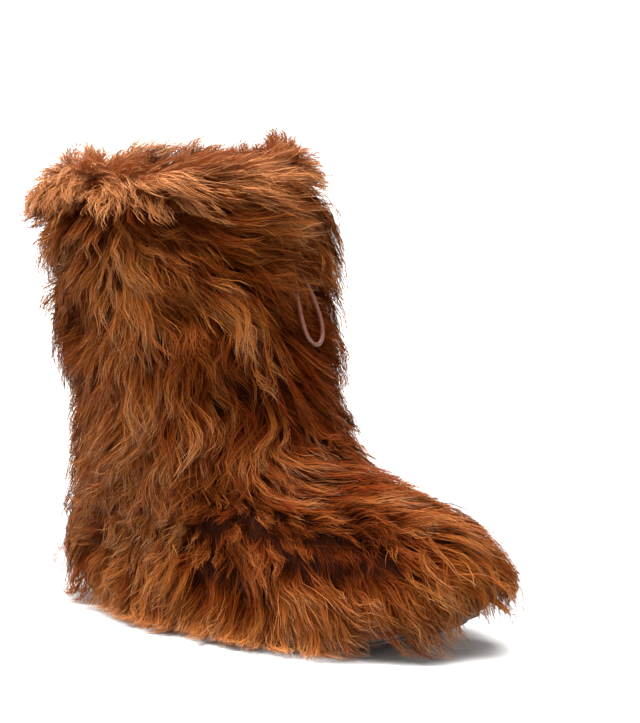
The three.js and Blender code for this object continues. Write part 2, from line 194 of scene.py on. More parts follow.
def off_hide(u, v, offset, rise=0.0):
    """The hide's point moved offset outwards, then rise upwards. Past either edge it goes straight on."""
    u, v, offset = np.broadcast_arrays(np.asarray(u, float), v, offset)
    point, out, _, _ = hide_frame(u, v)
    point = point + out * offset[..., None]
    hang = np.minimum(v, 0) + np.maximum(v - 1, 0)
    point[..., 2] += rise + hang * COLLAR_HEIGHT
    return point


def waves(a, b, seed, count=14, low=0.5, high=1.6):
    """Soft noise from -1 to 1: the mean of count sines over the plane (a, b), each with its own direction,
    phase and frequency between low and high per unit."""
    rng = np.random.default_rng(seed)
    way = rng.uniform(0, 2 * np.pi, count)
    pace = 2 * np.pi * rng.uniform(low, high, count)
    phase = rng.uniform(0, 2 * np.pi, count)
    across = a[..., None] * np.cos(way) + b[..., None] * np.sin(way)
    return np.sin(across * pace + phase).sum(-1) / math.sqrt(count * 2)


def grid_faces(rows, columns, round_rows=True, round_columns=True):
    """Four-cornered faces over a grid of points, closed in the ways that go round."""
    r = np.arange(rows if round_rows else rows - 1)
    c = np.arange(columns if round_columns else columns - 1)
    r, c = np.meshgrid(r, c, indexing="ij")
    r2, c2 = (r + 1) % rows, (c + 1) % columns
    corners = [r * columns + c, r2 * columns + c, r2 * columns + c2, r * columns + c2]
    return np.stack(corners, -1).reshape(-1, 4)


def end_faces(rows, columns):
    """The two many-cornered faces that close a tube of grid_faces at its first and last row."""
    return np.stack([np.arange(columns), rows * columns - 1 - np.arange(columns)])


def mesh_piece(name, points, faces, material, stands_for, uv=None, more_faces=None):
    """A piece in metres from points in millimetres. faces is an array with a row of corners for each face,
    more_faces another one with a different number of corners, and uv each point's place on the map."""
    groups = [faces] if more_faces is None else [faces, more_faces]
    corners = np.concatenate([g.ravel() for g in groups]).astype(np.int32)
    sizes = np.concatenate([np.full(len(g), g.shape[1]) for g in groups])
    starts = np.concatenate([[0], np.cumsum(sizes)[:-1]]).astype(np.int32)
    points = points.reshape(-1, 3)
    mesh = bpy.data.meshes.new(name)
    mesh.vertices.add(len(points))
    mesh.vertices.foreach_set("co", (points * MM).astype(np.float32).ravel())
    mesh.loops.add(len(corners))
    mesh.loops.foreach_set("vertex_index", corners)
    mesh.polygons.add(len(starts))
    mesh.polygons.foreach_set("loop_start", starts)
    mesh.polygons.foreach_set("use_smooth", np.ones(len(starts), dtype=bool))
    if uv is not None:
        layer = mesh.uv_layers.new(name="OFBake")
        layer.data.foreach_set("uv", uv[corners].astype(np.float32).ravel())
    mesh.update(calc_edges=True)
    mesh.materials.append(material)
    piece = bpy.data.objects.new(name, mesh)
    bpy.context.scene.collection.objects.link(piece)
    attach(piece, "root")
    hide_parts(*stands_for)
    return piece


def ring_piece(name, profile, around, material, stands_for, shift=None):
    """A closed profile of rows v, offset, rise carried round the boot. shift(u, k) adds to the offsets."""
    v, offset, rise = (np.asarray(column, float) for column in zip(*profile))
    u = (np.arange(around) / around)[:, None]
    offset = np.broadcast_to(offset, (around, len(v)))
    if shift is not None:
        offset = offset + shift(u, np.arange(len(v))[None, :])
    points = off_hide(u, v[None, :], offset, rise[None, :])
    mesh_piece(name, points, grid_faces(around, len(v)), material, stands_for)


def smooth_route(points, per_step):
    """A Catmull-Rom curve through the points, with per_step short steps between each two."""
    rows = np.concatenate([[2 * points[0] - points[1]], points, [2 * points[-1] - points[-2]]])
    share = (np.arange(per_step) / per_step)[None, :, None]
    curve = through(*(rows[k:len(rows) - 3 + k][:, None, :] for k in range(4)), share)
    return np.concatenate([curve.reshape(-1, 3), points[-1:]])


# Finishes

def linear(code, alpha=1.0):
    """An sRGB hex colour as linear red, green, blue and alpha."""
    parts = [int(code[k:k + 2], 16) / 255 for k in (1, 3, 5)]
    return [p / 12.92 if p <= 0.04045 else ((p + 0.055) / 1.055) ** 2.4 for p in parts] + [alpha]


def add(tree, kind, settings=None, values=None, links=None):
    """One shader node of a kind, with its own settings, its inputs' values, and what its inputs come from."""
    node = tree.nodes.new("ShaderNode" + kind)
    for key, value in (settings or {}).items():
        setattr(node, key, value)
    for key, value in (values or {}).items():
        node.inputs[key].default_value = value
    for key, source in (links or {}).items():
        tree.links.new(source, node.inputs[key])
    return node


def stops(ramp, rows):
    """Gives a colour ramp its rows of place and sRGB hex colour."""
    elements = ramp.color_ramp.elements
    while len(elements) < len(rows):
        elements.new(1.0)
    for element, (place, code) in zip(elements, rows):
        element.position = place
        element.color = linear(code)


def finish(name, values):
    """A new material with a principled surface: the material, its tree and that surface."""
    material = bpy.data.materials.new(name)
    material.use_nodes = True
    tree = material.node_tree
    surface = tree.nodes["Principled BSDF"]
    for key, value in values.items():
        surface.inputs[key].default_value = value
    return material, tree, surface


def dress(tree, surface, pattern, shades, detail, strength, height, speck=0.0):
    """Colours a surface with a pattern's shades, specked by a finer detail laid over them, and raises that
    detail as a bump of a strength and a height in millimetres."""
    tone = add(tree, "ValToRGB", links={"Fac": pattern})
    stops(tone, shades)
    colour = tone.outputs["Color"]
    if speck:
        over = add(tree, "Mix", {"data_type": "RGBA", "blend_type": "OVERLAY"}, {"Factor": speck},
                   {"A": colour, "B": detail.node.outputs["Color"]})
        colour = over.outputs["Result"]
    raised = add(tree, "Bump", values={"Strength": strength, "Distance": height * MM},
                 links={"Height": detail})
    tree.links.new(colour, surface.inputs["Base Color"])
    tree.links.new(raised.outputs["Normal"], surface.inputs["Normal"])


def long_wool():
    """Long dyed sheep's wool, combed, silky more than glossy. Each hair is dark at the root and lighter along
    its length: the dark root is partly painted shade deep in the fleece, and the pale tip partly painted
    highlight and partly the lighter tip the hair has. The piece's own map holds a hair's tone across and its
    length upwards."""
    material, tree, surface = finish("long_dyed_wool", {
        "Roughness": 0.55, "IOR": 1.55, "Specular IOR Level": 0.07, "Specular Tint": linear("#F0B478"),
        "Sheen Weight": 0.05, "Sheen Roughness": 0.4, "Sheen Tint": linear("#E0903C"),
    })
    place = add(tree, "UVMap", {"uv_map": "OFBake"})
    parts = add(tree, "SeparateXYZ", links={"Vector": place.outputs["UV"]})
    # painted shade and highlight: both ramps run from dark roots, painted shade in part, to pale tips,
    # painted highlight in part
    deep = add(tree, "ValToRGB", links={"Fac": parts.outputs["Y"]})
    stops(deep, [(0.0, "#140300"), (0.3, "#3A0E00"), (0.75, "#6E2403"), (1.0, "#883F14")])
    light = add(tree, "ValToRGB", links={"Fac": parts.outputs["Y"]})
    stops(light, [(0.0, "#220800"), (0.3, "#742E05"), (0.75, "#B66E34"), (1.0, "#DEAE86")])
    both = add(tree, "Mix", {"data_type": "RGBA"}, links={
        "Factor": parts.outputs["X"], "A": deep.outputs["Color"], "B": light.outputs["Color"]})
    tree.links.new(both.outputs["Result"], surface.inputs["Base Color"])
    return material


def dense_wool(name, shades):
    """The short dense wool at the roots of the long hair: matt and combed down in fine streaks, about a
    millimetre across and ten long, in three shades from dark to light."""
    material, tree, surface = finish(name, {"Roughness": 0.95, "Specular IOR Level": 0.1})
    place = add(tree, "TexCoord").outputs["Object"]
    drawn = add(tree, "Mapping", values={"Scale": (1.0, 1.0, 0.11)}, links={"Vector": place})
    streak = add(tree, "TexNoise", links={"Vector": drawn.outputs["Vector"]},
                 values={"Scale": 1 / (1.1 * MM), "Detail": 3.0, "Distortion": 0.6}).outputs["Fac"]
    dress(tree, surface, streak, list(zip((0.3, 0.55, 0.8), shades)), streak, 0.9, 1.2)
    return material


def suede():
    """Split leather with a short brushed nap: matt, with cloudy lighter and darker strokes and worn lighter
    spots about 12 mm across, and a fine fibre drawn 0.7 mm coarse, so that it shows."""
    material, tree, surface = finish("brushed_suede", {
        "Roughness": 0.92, "Specular IOR Level": 0.2,
        "Sheen Weight": 0.35, "Sheen Roughness": 0.5, "Sheen Tint": linear("#C88A66"),
    })
    place = add(tree, "TexCoord").outputs["Object"]
    cloud = add(tree, "TexNoise", links={"Vector": place},
                values={"Scale": 1 / (12 * MM), "Detail": 5.0, "Roughness": 0.6}).outputs["Fac"]
    fibre = add(tree, "TexNoise", links={"Vector": place},
                values={"Scale": 1 / (0.7 * MM), "Detail": 3.0}).outputs["Fac"]
    shades = [(0.3, "#5E2E1B"), (0.5, "#7A4229"), (0.72, "#92583B")]
    dress(tree, surface, cloud, shades, fibre, 0.5, 0.3, speck=0.35)
    return material


def sole_rubber():
    """Moulded brown rubber: dull, faintly mottled, with a fine mould grain of a millimetre and dust in it,
    about 9 mm across, that makes it duller in places."""
    material, tree, surface = finish("moulded_brown_rubber", {"Roughness": 0.62, "IOR": 1.52})
    place = add(tree, "TexCoord").outputs["Object"]
    dust = add(tree, "TexNoise", links={"Vector": place},
               values={"Scale": 1 / (9 * MM), "Detail": 6.0, "Roughness": 0.65}).outputs["Fac"]
    grain = add(tree, "TexVoronoi", links={"Vector": place}, values={"Scale": 1 / (1.1 * MM)})
    worn = add(tree, "MapRange", links={"Value": dust}, values={"To Min": 0.5, "To Max": 0.78})
    tree.links.new(worn.outputs["Result"], surface.inputs["Roughness"])
    shades = [(0.35, "#24140F"), (0.6, "#382119"), (0.8, "#4B3127")]
    dress(tree, surface, dust, shades, grain.outputs["Distance"], 0.25, 0.15)
    return material


def sheared_wool():
    """Wool clipped to a short curly pile: matt golden brown, in tight curls about 5 mm across, with fibres
    drawn 1.2 mm coarse, so that they show."""
    material, tree, surface = finish("sheared_wool_pile", {
        "Roughness": 0.95, "Specular IOR Level": 0.15,
        "Sheen Weight": 0.3, "Sheen Roughness": 0.6, "Sheen Tint": linear("#E2B078"),
    })
    place = add(tree, "TexCoord").outputs["Object"]
    curl = add(tree, "TexVoronoi", {"feature": "SMOOTH_F1"}, {"Scale": 1 / (5 * MM)}, {"Vector": place})
    fibre = add(tree, "TexNoise", links={"Vector": place},
                values={"Scale": 1 / (1.2 * MM), "Detail": 4.0, "Distortion": 1.5}).outputs["Fac"]
    shades = [(0.0, "#A9703A"), (0.45, "#875124"), (0.8, "#54290F")]
    dress(tree, surface, curl.outputs["Distance"], shades, fibre, 0.8, 0.8, speck=0.4)
    return material


def cord_leather():
    """A thin round leather lace: pinkish brown, softly waxed, with a fine grain drawn 0.9 mm coarse, so that
    it shows."""
    material, tree, surface = finish("waxed_leather_lace", {
        "Roughness": 0.5, "IOR": 1.5, "Coat Weight": 0.15, "Coat Roughness": 0.45,
    })
    place = add(tree, "TexCoord").outputs["Object"]
    grain = add(tree, "TexNoise", links={"Vector": place},
                values={"Scale": 1 / (0.9 * MM), "Detail": 4.0}).outputs["Fac"]
    shades = [(0.3, "#54281B"), (0.55, "#703C2A"), (0.75, "#89523B")]
    dress(tree, surface, grain, shades, grain, 0.4, 0.2)
    return material


# Camera: the photograph's angle, 38 degrees from the lateral side towards the toe and 9 degrees up, from
# 1.5 m. The middle of the picture is right of and above the boot's middle, as in the photograph.
AZIMUTH = 38
ELEVATION = 9
DISTANCE = 1.5
FOCAL_PIXELS = 1500 / 0.565
LONG_SIDE = 723
SENSOR = 36.0
BOOT_MIDDLE = (80, 0, 130)
OFF_MIDDLE = (58.0, 34.5)


def towards(azimuth, elevation):
    """The direction at azimuth degrees from the lateral side towards the toe and elevation degrees up."""
    a, e = math.radians(azimuth), math.radians(elevation)
    return Vector((math.sin(a) * math.cos(e), -math.cos(a) * math.cos(e), math.sin(e)))


def place_camera():
    """The camera stands DISTANCE back from the boot's middle and looks past it by OFF_MIDDLE pixels, right
    and up. Its lens is the focal length in pixels times the sensor over the picture's long side."""
    back = towards(AZIMUTH, ELEVATION)
    right = towards(AZIMUTH + 90, 0)
    up = back.cross(right)
    data = bpy.data.cameras.new("photo_camera")
    data.sensor_width = SENSOR
    data.lens = FOCAL_PIXELS * SENSOR / LONG_SIDE
    data.clip_start, data.clip_end = 0.05, 200.0
    camera = bpy.data.objects.new("photo_camera", data)
    bpy.context.scene.collection.objects.link(camera)
    camera.location = Vector(BOOT_MIDDLE) * MM + back * DISTANCE
    gaze = -back * FOCAL_PIXELS + right * OFF_MIDDLE[0] + up * OFF_MIDDLE[1]
    camera.rotation_mode = "QUATERNION"
    camera.rotation_quaternion = gaze.to_track_quat("-Z", "Y")
    bpy.context.scene.camera = camera


place_camera()


# Drawcord

def drawcord_loop():
    """A round tube along the route: rings of points square to it, uneven by a sine, and drawn to nearly
    nothing at both hidden ends."""
    path = smooth_route(CORD_ROUTE, CORD_STEPS)
    way = unit(np.gradient(path, axis=0))
    across_loop = [1.0, 0.35, 0.2]
    side = unit(np.cross(way, across_loop))
    over = np.cross(side, way)
    turn = np.linspace(0, 2 * np.pi, CORD_SIDES, endpoint=False)
    radius = CORD_RADIUS * (1 + UNEVEN * np.sin(np.arange(len(path)) * 1.1))
    radius[[0, -1]] = 0.02
    ring = side[:, None] * np.cos(turn)[:, None] + over[:, None] * np.sin(turn)[:, None]
    points = path[:, None] + ring * radius[:, None, None]
    faces = grid_faces(len(path), len(turn), round_rows=False)
    piece = mesh_piece("drawcord", points, faces, cord_leather(),
                       ["drawcord_loop"], more_faces=end_faces(len(path), len(turn)))


drawcord_loop()


# Sole

def floor_rise(along):
    """Height of the lugs' underside: the toe spring and a rounded heel, both squares of the way on, and a low
    arch, the square of a sine."""
    spring = part_way(along, SPRING_START, 1 - SPRING_START) ** 2
    heel = np.clip(1 - along / HEEL_SHARE, 0, 1) ** 2
    arch = np.sin(np.pi * part_way(along, ARCH_START, ARCH_SPAN)) ** 2
    return TOE_SPRING * spring + HEEL_RISE * heel + ARCH_RISE * arch


def sole_edges(x, inset):
    """The share along the sole at x, and its lateral and medial edges there."""
    back = SECTIONS[0, 0] * FOOT_LENGTH + inset
    front = SECTIONS[0, 2] * FOOT_LENGTH - inset
    along = (x - back) / (front - back)
    angle = np.arccos(np.clip(1 - 2 * along, -1, 1))
    zero = np.zeros_like(x)
    return along, last_point(angle, zero, inset), last_point(-angle, zero, inset)


def outsole():
    """Cross sections along the foot. Each goes down the lateral wall, with a ribbed edge, across the bottom
    and up the medial wall. The bottom drops by the lug height under each bar, with rounded corners."""
    ends = 0.4
    back = SECTIONS[0, 0] * FOOT_LENGTH + SOLE_INSET + ends
    front = SECTIONS[0, 2] * FOOT_LENGTH - SOLE_INSET - ends
    middles = np.arange(-2 * LUG_PITCH, front - LUG_LENGTH, LUG_PITCH)
    rounding = np.array([3.3, 4.0, 4.3, 4.5])
    corner = np.concatenate([-rounding[::-1], [0], rounding])
    even = mix(back, front, (1 - np.cos(np.linspace(0, np.pi, 90))) / 2)
    x = np.unique(np.round(np.concatenate([even, (middles[:, None] + corner).ravel()]), 2))
    away = np.abs(x[:, None] - middles).min(1)
    depth = LUG_HEIGHT * np.interp(away, rounding, [1, 0.9, 0.5, 0])
    along, lateral, medial = sole_edges(x, SOLE_INSET)
    plate = floor_rise(along) + LUG_HEIGHT
    top = lateral[:, 2] - FEATHER_HEIGHT + LUG_HEIGHT + PLATE
    inset = np.minimum(LUG_INSET, (medial[:, 1] - lateral[:, 1]) / 8)
    low = plate - depth
    # the ribbed wall: shares of the way from the top to the plate, and how far in, in parts of the inset
    share = np.array([0.0, 0.06, 0.3, 0.38, 0.5, 0.58, 0.9, 1.0])
    drawn = np.array([0.1, 0.0, 0.0, 0.22, 0.22, 0.0, 0.0, 0.15])
    wall_z = mix(top[:, None], plate[:, None], share)
    wall_y = inset[:, None] * drawn
    across = np.linspace(0, 1, 13)
    left, right = lateral[:, 1:2], medial[:, 1:2]
    bottom_y = mix(left + inset[:, None] * 1.25, right - inset[:, None] * 1.25, across)
    edge_soft = np.minimum(1, np.minimum(across, 1 - across) * 40 + 0.8)
    bottom_z = plate[:, None] - (plate - low)[:, None] * edge_soft
    y = np.concatenate([left + wall_y, bottom_y, (right - wall_y)[:, ::-1]], 1)
    z = np.concatenate([wall_z, bottom_z, wall_z[:, ::-1]], 1)
    points = np.stack([np.broadcast_to(x[:, None], y.shape), y, z], -1)
    count = y.shape[1]
    faces = grid_faces(len(x), count, round_rows=False)
    mesh_piece("outsole_treaded", points, faces[:, ::-1], sole_rubber(),
               ["outsole"], more_faces=end_faces(len(x), count)[:, ::-1])


def rand():
    """A strip that bulges round the foot and rolls in under the hide: its outer face is a row of soft arcs,
    with a pressed line 4 mm below its top edge and shallow wrinkles across it at the heel and the ball."""
    outer = [(0, 1.2, -1.9), (0, 2.2, -0.9), (0, 2.9, 0.2), (0.01, 3.2, 0.3), (0.025, 3.35, 0),
             (0.045, 3.4, 0), (0.065, 3.25, 0), (0.085, 3.0, 0), (0.098, 2.7, 0), (0.104, 2.35, 0),
             (0.11, 2.7, 0), (0.124, 2.6, 0), (RAND_TOP - 0.002, 2.35, 0), (RAND_TOP, 1.6, 0)]
    inner = [(v, 0.35, 0) for v in np.linspace(RAND_TOP, 0, 6)]
    under = [(0, 0.3, -0.35), (0, -HIDE, -0.35), (0, -HIDE, -2.2), (0, -0.6, -2.2)]
    profile = outer + inner + under

    def wrinkles(u, k):
        """A soft noise all round, and sines across where the foot flexes, most in the middle of the face."""
        outside = np.sin(np.pi * np.clip(k / (len(outer) - 1), 0, 1))
        flex = bell((np.mod(u, 0.5) - 0.36) / 0.06) + bell((np.mod(u + 0.25, 0.5) - 0.25) / 0.05)
        return outside * (0.12 * waves(u * 60, k * 0.35, 5) + 0.25 * flex * np.sin(u * 420 + 0.5 * k))

    ring_piece("rand_strip", profile, 260, suede(), ["rand"], wrinkles)


def curls(a, b, seed):
    """Tight rounded tufts: the size of a soft noise about 5 mm across, with finer noise on it."""
    return np.abs(waves(a / 5, b / 5, seed)) + 0.35 * waves(a / 2.2, b / 2.2, seed + 1)


def footbed():
    """A plate that lies on the outsole inside the hide: rounded edges, a low raised rim and a curly pile."""
    inset = HIDE + 1.3
    ends = 0.6
    back = SECTIONS[0, 0] * FOOT_LENGTH + inset + ends
    front = SECTIONS[0, 2] * FOOT_LENGTH - inset - ends
    x = mix(back, front, (1 - np.cos(np.linspace(0, np.pi, 150))) / 2)
    _, lateral, medial = sole_edges(x, inset)
    _, edge, _ = sole_edges(x, SOLE_INSET)
    bottom = (edge[:, 2] - FEATHER_HEIGHT + LUG_HEIGHT + PLATE + 0.3)[:, None]
    over, under = 46, 12
    across = np.concatenate([np.linspace(0, 1, over), np.linspace(1, 0, under)])
    above = np.concatenate([np.ones(over), np.zeros(under)])
    outer = np.abs(across - 0.5)
    cup = 1.5 * part_way(outer, 0.3, 0.2) ** 1.5
    soften = 1.6 * part_way(outer, 0.46, 0.04) ** 2
    y = mix(lateral[:, 1:2], medial[:, 1:2], across)
    x = np.broadcast_to(x[:, None], y.shape)
    pile = 0.7 * curls(x, y, 21) * np.clip((0.5 - outer) * 20, 0, 1)
    z = bottom + above * (FOOTBED + cup - soften + pile)
    points = np.stack([x, y, z], -1)
    count = y.shape[1]
    faces = grid_faces(len(x), count, round_rows=False)
    mesh_piece("footbed_pile", points, faces, PILE, ["footbed"],
               more_faces=end_faces(len(x), count))


def upper():
    """The hide's outer wall from the bottom edge to the collar, and its curly inner pile back down."""
    levels = np.linspace(0, 1, 72)
    outer = [(v, 0, 0) for v in np.linspace(0, 1, 16)]
    inner = [(v, -HIDE - 0.4, 0) for v in levels[::-1]]

    def pile(u, k):
        """The curls, laid out by the boot's girth, on the inner wall alone."""
        inside = (k >= len(outer) + 1) & (k < len(outer) + len(inner) - 2)
        v = np.where(inside, levels[::-1][np.clip(k - len(outer), 0, len(levels) - 1)], 0)
        shaft_girth, foot_girth, whole_turn = 360.0, 560.0, 6.28
        across = np.sin(2 * np.pi * u) * np.where(v > 0.5, shaft_girth, foot_girth) / whole_turn
        return -np.where(inside, 1.3 * curls(across, v * 250, 31), 0)

    ring_piece("upper_shearling", outer + inner, 200, PILE, ["upper"], pile)


PILE = sheared_wool()
outsole()
rand()
footbed()
upper()


# Long hair
WOOL = long_wool()
# The dense wool under the hair: painted near black as painted shade between the locks, and a paler copy for
# the collar, painted light where it is lit from above
PAINTED_SHADE_ROOTS = dense_wool("dense_root_wool_painted_shade", ("#1C0701", "#331003", "#4E1D06"))
PAINTED_LIT_RIM_ROOTS = dense_wool("dense_rim_wool_painted_light", ("#4A1C08", "#743A14", "#925226"))

# How the hair is combed, given on the lateral side: rows of v, then pairs of u and degrees from
# straight down, with + towards the front. From MIRROR_FROM on, the medial side is a weaker mirror image.
COMBED = [
    (0.98, [(0.02, -40), (0.09, -70), (0.15, -80), (0.23, -60), (0.26, 8), (0.29, 52), (0.32, 68),
            (0.35, 80), (0.38, 78), (0.43, 62), (0.50, 64), (0.57, 66)]),
    (0.93, [(0.03, -20), (0.12, -58), (0.22, -46), (0.26, -4), (0.29, 54), (0.32, 76), (0.34, 80),
            (0.375, 76), (0.42, 76), (0.48, 70), (0.55, 66)]),
    (0.89, [(0.03, -10), (0.12, -46), (0.21, -38), (0.25, 20), (0.28, 42), (0.31, 34), (0.34, 58),
            (0.37, 62), (0.415, 70), (0.47, 62), (0.53, 54)]),
    (0.85, [(0.04, -12), (0.12, -48), (0.205, -50), (0.245, -14), (0.28, 30), (0.305, 18), (0.335, 42),
            (0.365, 46), (0.41, 58), (0.46, 44), (0.505, 40), (0.57, 30)]),
    (0.805, [(0.04, -12), (0.12, -44), (0.195, -52), (0.24, -36), (0.27, 14), (0.30, 46), (0.33, 32),
             (0.36, -8), (0.40, 40), (0.47, 22), (0.55, 26)]),
    (0.765, [(0.04, -10), (0.12, -38), (0.185, -48), (0.24, -26), (0.27, 4), (0.30, 34), (0.33, -8),
             (0.357, 12), (0.395, 44), (0.46, 38), (0.55, 22)]),
    (0.72, [(0.04, -10), (0.12, -36), (0.175, -44), (0.23, -26), (0.265, 4), (0.295, 8), (0.32, -12),
            (0.355, -2), (0.39, -2), (0.455, 36), (0.55, 28)]),
    (0.67, [(0.04, -8), (0.10, -30), (0.16, -42), (0.225, -24), (0.26, -8), (0.29, -22), (0.32, 16),
            (0.35, 8), (0.39, 14), (0.45, 32), (0.54, 30)]),
    (0.61, [(0.04, -8), (0.10, -26), (0.15, -34), (0.22, -32), (0.26, -16), (0.29, -6), (0.32, -2),
            (0.35, -12), (0.39, -2), (0.44, 16), (0.52, 26), (0.59, 44)]),
    (0.55, [(0.04, -8), (0.15, -28), (0.215, -38), (0.25, -42), (0.28, -42), (0.31, -34), (0.34, -22),
            (0.37, -20), (0.41, -10), (0.47, 18), (0.55, 24)]),
    (0.46, [(0.04, -14), (0.15, -34), (0.205, -54), (0.24, -42), (0.27, -34), (0.295, -40), (0.32, -42),
            (0.345, -40), (0.365, -10), (0.395, 46), (0.43, 58), (0.49, 18), (0.56, -10)]),
    (0.36, [(0.04, -20), (0.14, -44), (0.19, -56), (0.22, -56), (0.25, -54), (0.27, -54), (0.29, -56),
            (0.315, -50), (0.33, 10), (0.345, 76), (0.36, 82), (0.38, 66), (0.41, 44), (0.45, 36),
            (0.53, 40)]),
    (0.25, [(0.04, -20), (0.14, -46), (0.18, -42), (0.21, -50), (0.235, -50), (0.25, -40), (0.265, 4),
            (0.28, 16), (0.30, 4), (0.32, -8), (0.34, 0), (0.36, 8), (0.385, 2), (0.415, 14), (0.455, 40),
            (0.535, 44)]),
    (0.17, [(0.04, -14), (0.14, -30), (0.18, -36), (0.21, -26), (0.233, -34), (0.248, -16), (0.259, 12),
            (0.272, 36), (0.29, 44), (0.307, 42), (0.33, 44), (0.35, 42), (0.37, 36), (0.40, 28),
            (0.44, 38), (0.51, 44)]),
    (0.09, [(0.04, -10), (0.14, -18), (0.18, -26), (0.21, -18), (0.245, -24), (0.259, -34), (0.272, -14),
            (0.29, 46), (0.307, 60), (0.325, 58), (0.345, 54), (0.37, 44), (0.40, 28), (0.44, 26),
            (0.51, 30)]),
]
MIRROR_FROM = 0.64
MIRRORED = -0.55
COMB = np.array([(u, v, turn) for v, row in COMBED for u, turn in row])
COMB = np.concatenate([COMB, (COMB * [-1, 1, MIRRORED] + [1, 0, 0])[COMB[:, 0] < 1 - MIRROR_FROM]])

# How far the hair stands off the hide and how long it is: u, v, lift and length in millimetres
LOFT = np.array([
    (0.00, 0.13, 12, 40), (0.00, 0.30, 17, 46), (0.00, 0.45, 12, 48), (0.00, 0.58, 15, 56),
    (0.00, 0.72, 18, 62), (0.00, 0.85, 23, 58), (0.15, 0.13, 12, 36), (0.15, 0.30, 17, 46),
    (0.15, 0.45, 12, 48), (0.15, 0.58, 17, 56), (0.11, 0.65, 22, 60), (0.15, 0.74, 18, 62),
    (0.15, 0.85, 23, 56), (0.255, 0.13, 19, 56), (0.30, 0.13, 12, 38), (0.28, 0.30, 15, 44),
    (0.30, 0.45, 15, 50), (0.30, 0.60, 17, 60), (0.30, 0.75, 18, 62), (0.30, 0.88, 21, 54),
    (0.335, 0.35, 18, 36), (0.365, 0.35, 18, 38), (0.335, 0.25, 7, 42), (0.36, 0.25, 7, 42),
    (0.42, 0.13, 14, 34), (0.42, 0.30, 14, 46), (0.42, 0.45, 14, 50), (0.42, 0.60, 18, 58),
    (0.42, 0.75, 18, 60), (0.42, 0.88, 20, 52), (0.50, 0.13, 23, 15), (0.50, 0.25, 13, 35),
    (0.49, 0.38, 9, 46), (0.56, 0.13, 18, 17), (0.56, 0.22, 12, 35), (0.57, 0.38, 9, 46),
    (0.55, 0.55, 20, 56), (0.55, 0.70, 20, 58), (0.55, 0.86, 21, 50), (0.70, 0.13, 12, 38),
    (0.70, 0.30, 16, 46), (0.70, 0.48, 16, 50), (0.70, 0.65, 18, 60), (0.70, 0.84, 17, 54),
    (0.85, 0.13, 12, 40), (0.85, 0.30, 17, 46), (0.85, 0.45, 13, 48), (0.85, 0.60, 14, 56),
    (0.85, 0.75, 18, 62), (0.85, 0.87, 22, 56), (0.10, 0.97, 25, 40), (0.25, 0.97, 22, 42),
    (0.40, 0.97, 21, 44), (0.54, 0.95, 27, 44), (0.75, 0.97, 16, 40), (0.92, 0.97, 24, 40),
])

# Hollows between the locks, where the hair lies low and is painted dark as painted shade: u, v, half their
# size in u and v, and how bare
HOLLOWS = np.array([
    (0.29, 0.922, 0.012, 0.01, 0.1), (0.312, 0.906, 0.012, 0.01, 0.1), (0.358, 0.281, 0.014, 0.021, 0.95),
    (0.342, 0.30, 0.016, 0.022, 0.95), (0.325, 0.318, 0.016, 0.024, 0.95), (0.307, 0.325, 0.011, 0.02, 0.8),
    (0.398, 0.263, 0.008, 0.014, 0.6), (0.263, 0.26, 0.012, 0.028, 0.7), (0.262, 0.21, 0.008, 0.018, 0.1),
    (0.158, 0.685, 0.012, 0.018, 0.7), (0.185, 0.788, 0.018, 0.026, 0.7), (0.403, 0.985, 0.012, 0.016, 0.4),
    (0.15, 0.20, 0.012, 0.02, 0.4), (0.425, 0.775, 0.02, 0.034, 0.8), (0.495, 0.785, 0.03, 0.025, 0.6),
    (0.408, 0.881, 0.018, 0.014, 0.1), (0.288, 0.438, 0.011, 0.016, 0.6), (0.318, 0.419, 0.011, 0.014, 0.6),
    (0.307, 0.80, 0.013, 0.015, 0.6), (0.352, 0.685, 0.010, 0.022, 0.6), (0.81, 0.74, 0.016, 0.022, 0.6),
    (0.70, 0.66, 0.012, 0.022, 0.6), (0.72, 0.26, 0.008, 0.03, 0.6), (0.65, 0.80, 0.014, 0.02, 0.6),
    (0.93, 0.62, 0.012, 0.03, 0.6), (0.77, 0.44, 0.011, 0.016, 0.6),
])

# Where the hair grows thicker: u, v, half their size in u and v, and how much thicker
THICKER = np.array([
    (0.46, 0.20, 0.05, 0.08, 1.2), (0.53, 0.20, 0.05, 0.08, 0.8), (0.25, 0.145, 0.05, 0.025, 1.2),
    (0.31, 0.85, 0.03, 0.03, 0.8), (0.56, 0.55, 0.04, 0.08, 0.6), (0.92, 0.98, 0.06, 0.05, 1.0),
    (0.265, 0.91, 0.035, 0.035, 1.5), (0.38, 0.92, 0.05, 0.03, 1.2), (0.243, 0.15, 0.018, 0.02, 2.2),
    (0.28, 0.15, 0.02, 0.02, 1.2), (0.75, 0.98, 0.12, 0.04, 0.5), (0.18, 0.99, 0.035, 0.03, 1.2),
])

# Where the hair is painted paler or darker, as painted light where the boot is lit and painted shade where
# it is shaded: u, v, half their size in u and v, and how much paler
PAINTED_LIGHT_AND_SHADE = np.array([
    (0.46, 0.16, 0.06, 0.09, 0.42), (0.41, 0.22, 0.03, 0.05, 0.15), (0.18, 0.22, 0.06, 0.10, 0.36),
    (0.175, 0.84, 0.045, 0.10, 0.38), (0.09, 0.22, 0.04, 0.12, 0.3), (0.255, 0.31, 0.022, 0.07, 0.38),
    (0.275, 0.20, 0.022, 0.06, 0.4), (0.365, 0.42, 0.035, 0.045, -0.42), (0.425, 0.49, 0.045, 0.06, -0.42),
    (0.17, 0.70, 0.06, 0.14, 0.12), (0.30, 0.24, 0.04, 0.08, -0.06), (0.40, 0.66, 0.06, 0.12, -0.08),
    (0.85, 0.22, 0.10, 0.10, 0.20), (0.34, 0.92, 0.07, 0.04, 0.15), (0.25, 0.90, 0.06, 0.04, 0.35),
    (0.45, 0.92, 0.06, 0.05, 0.25), (0.11, 0.70, 0.03, 0.16, 0.35), (0.04, 0.70, 0.05, 0.14, 0.2),
])


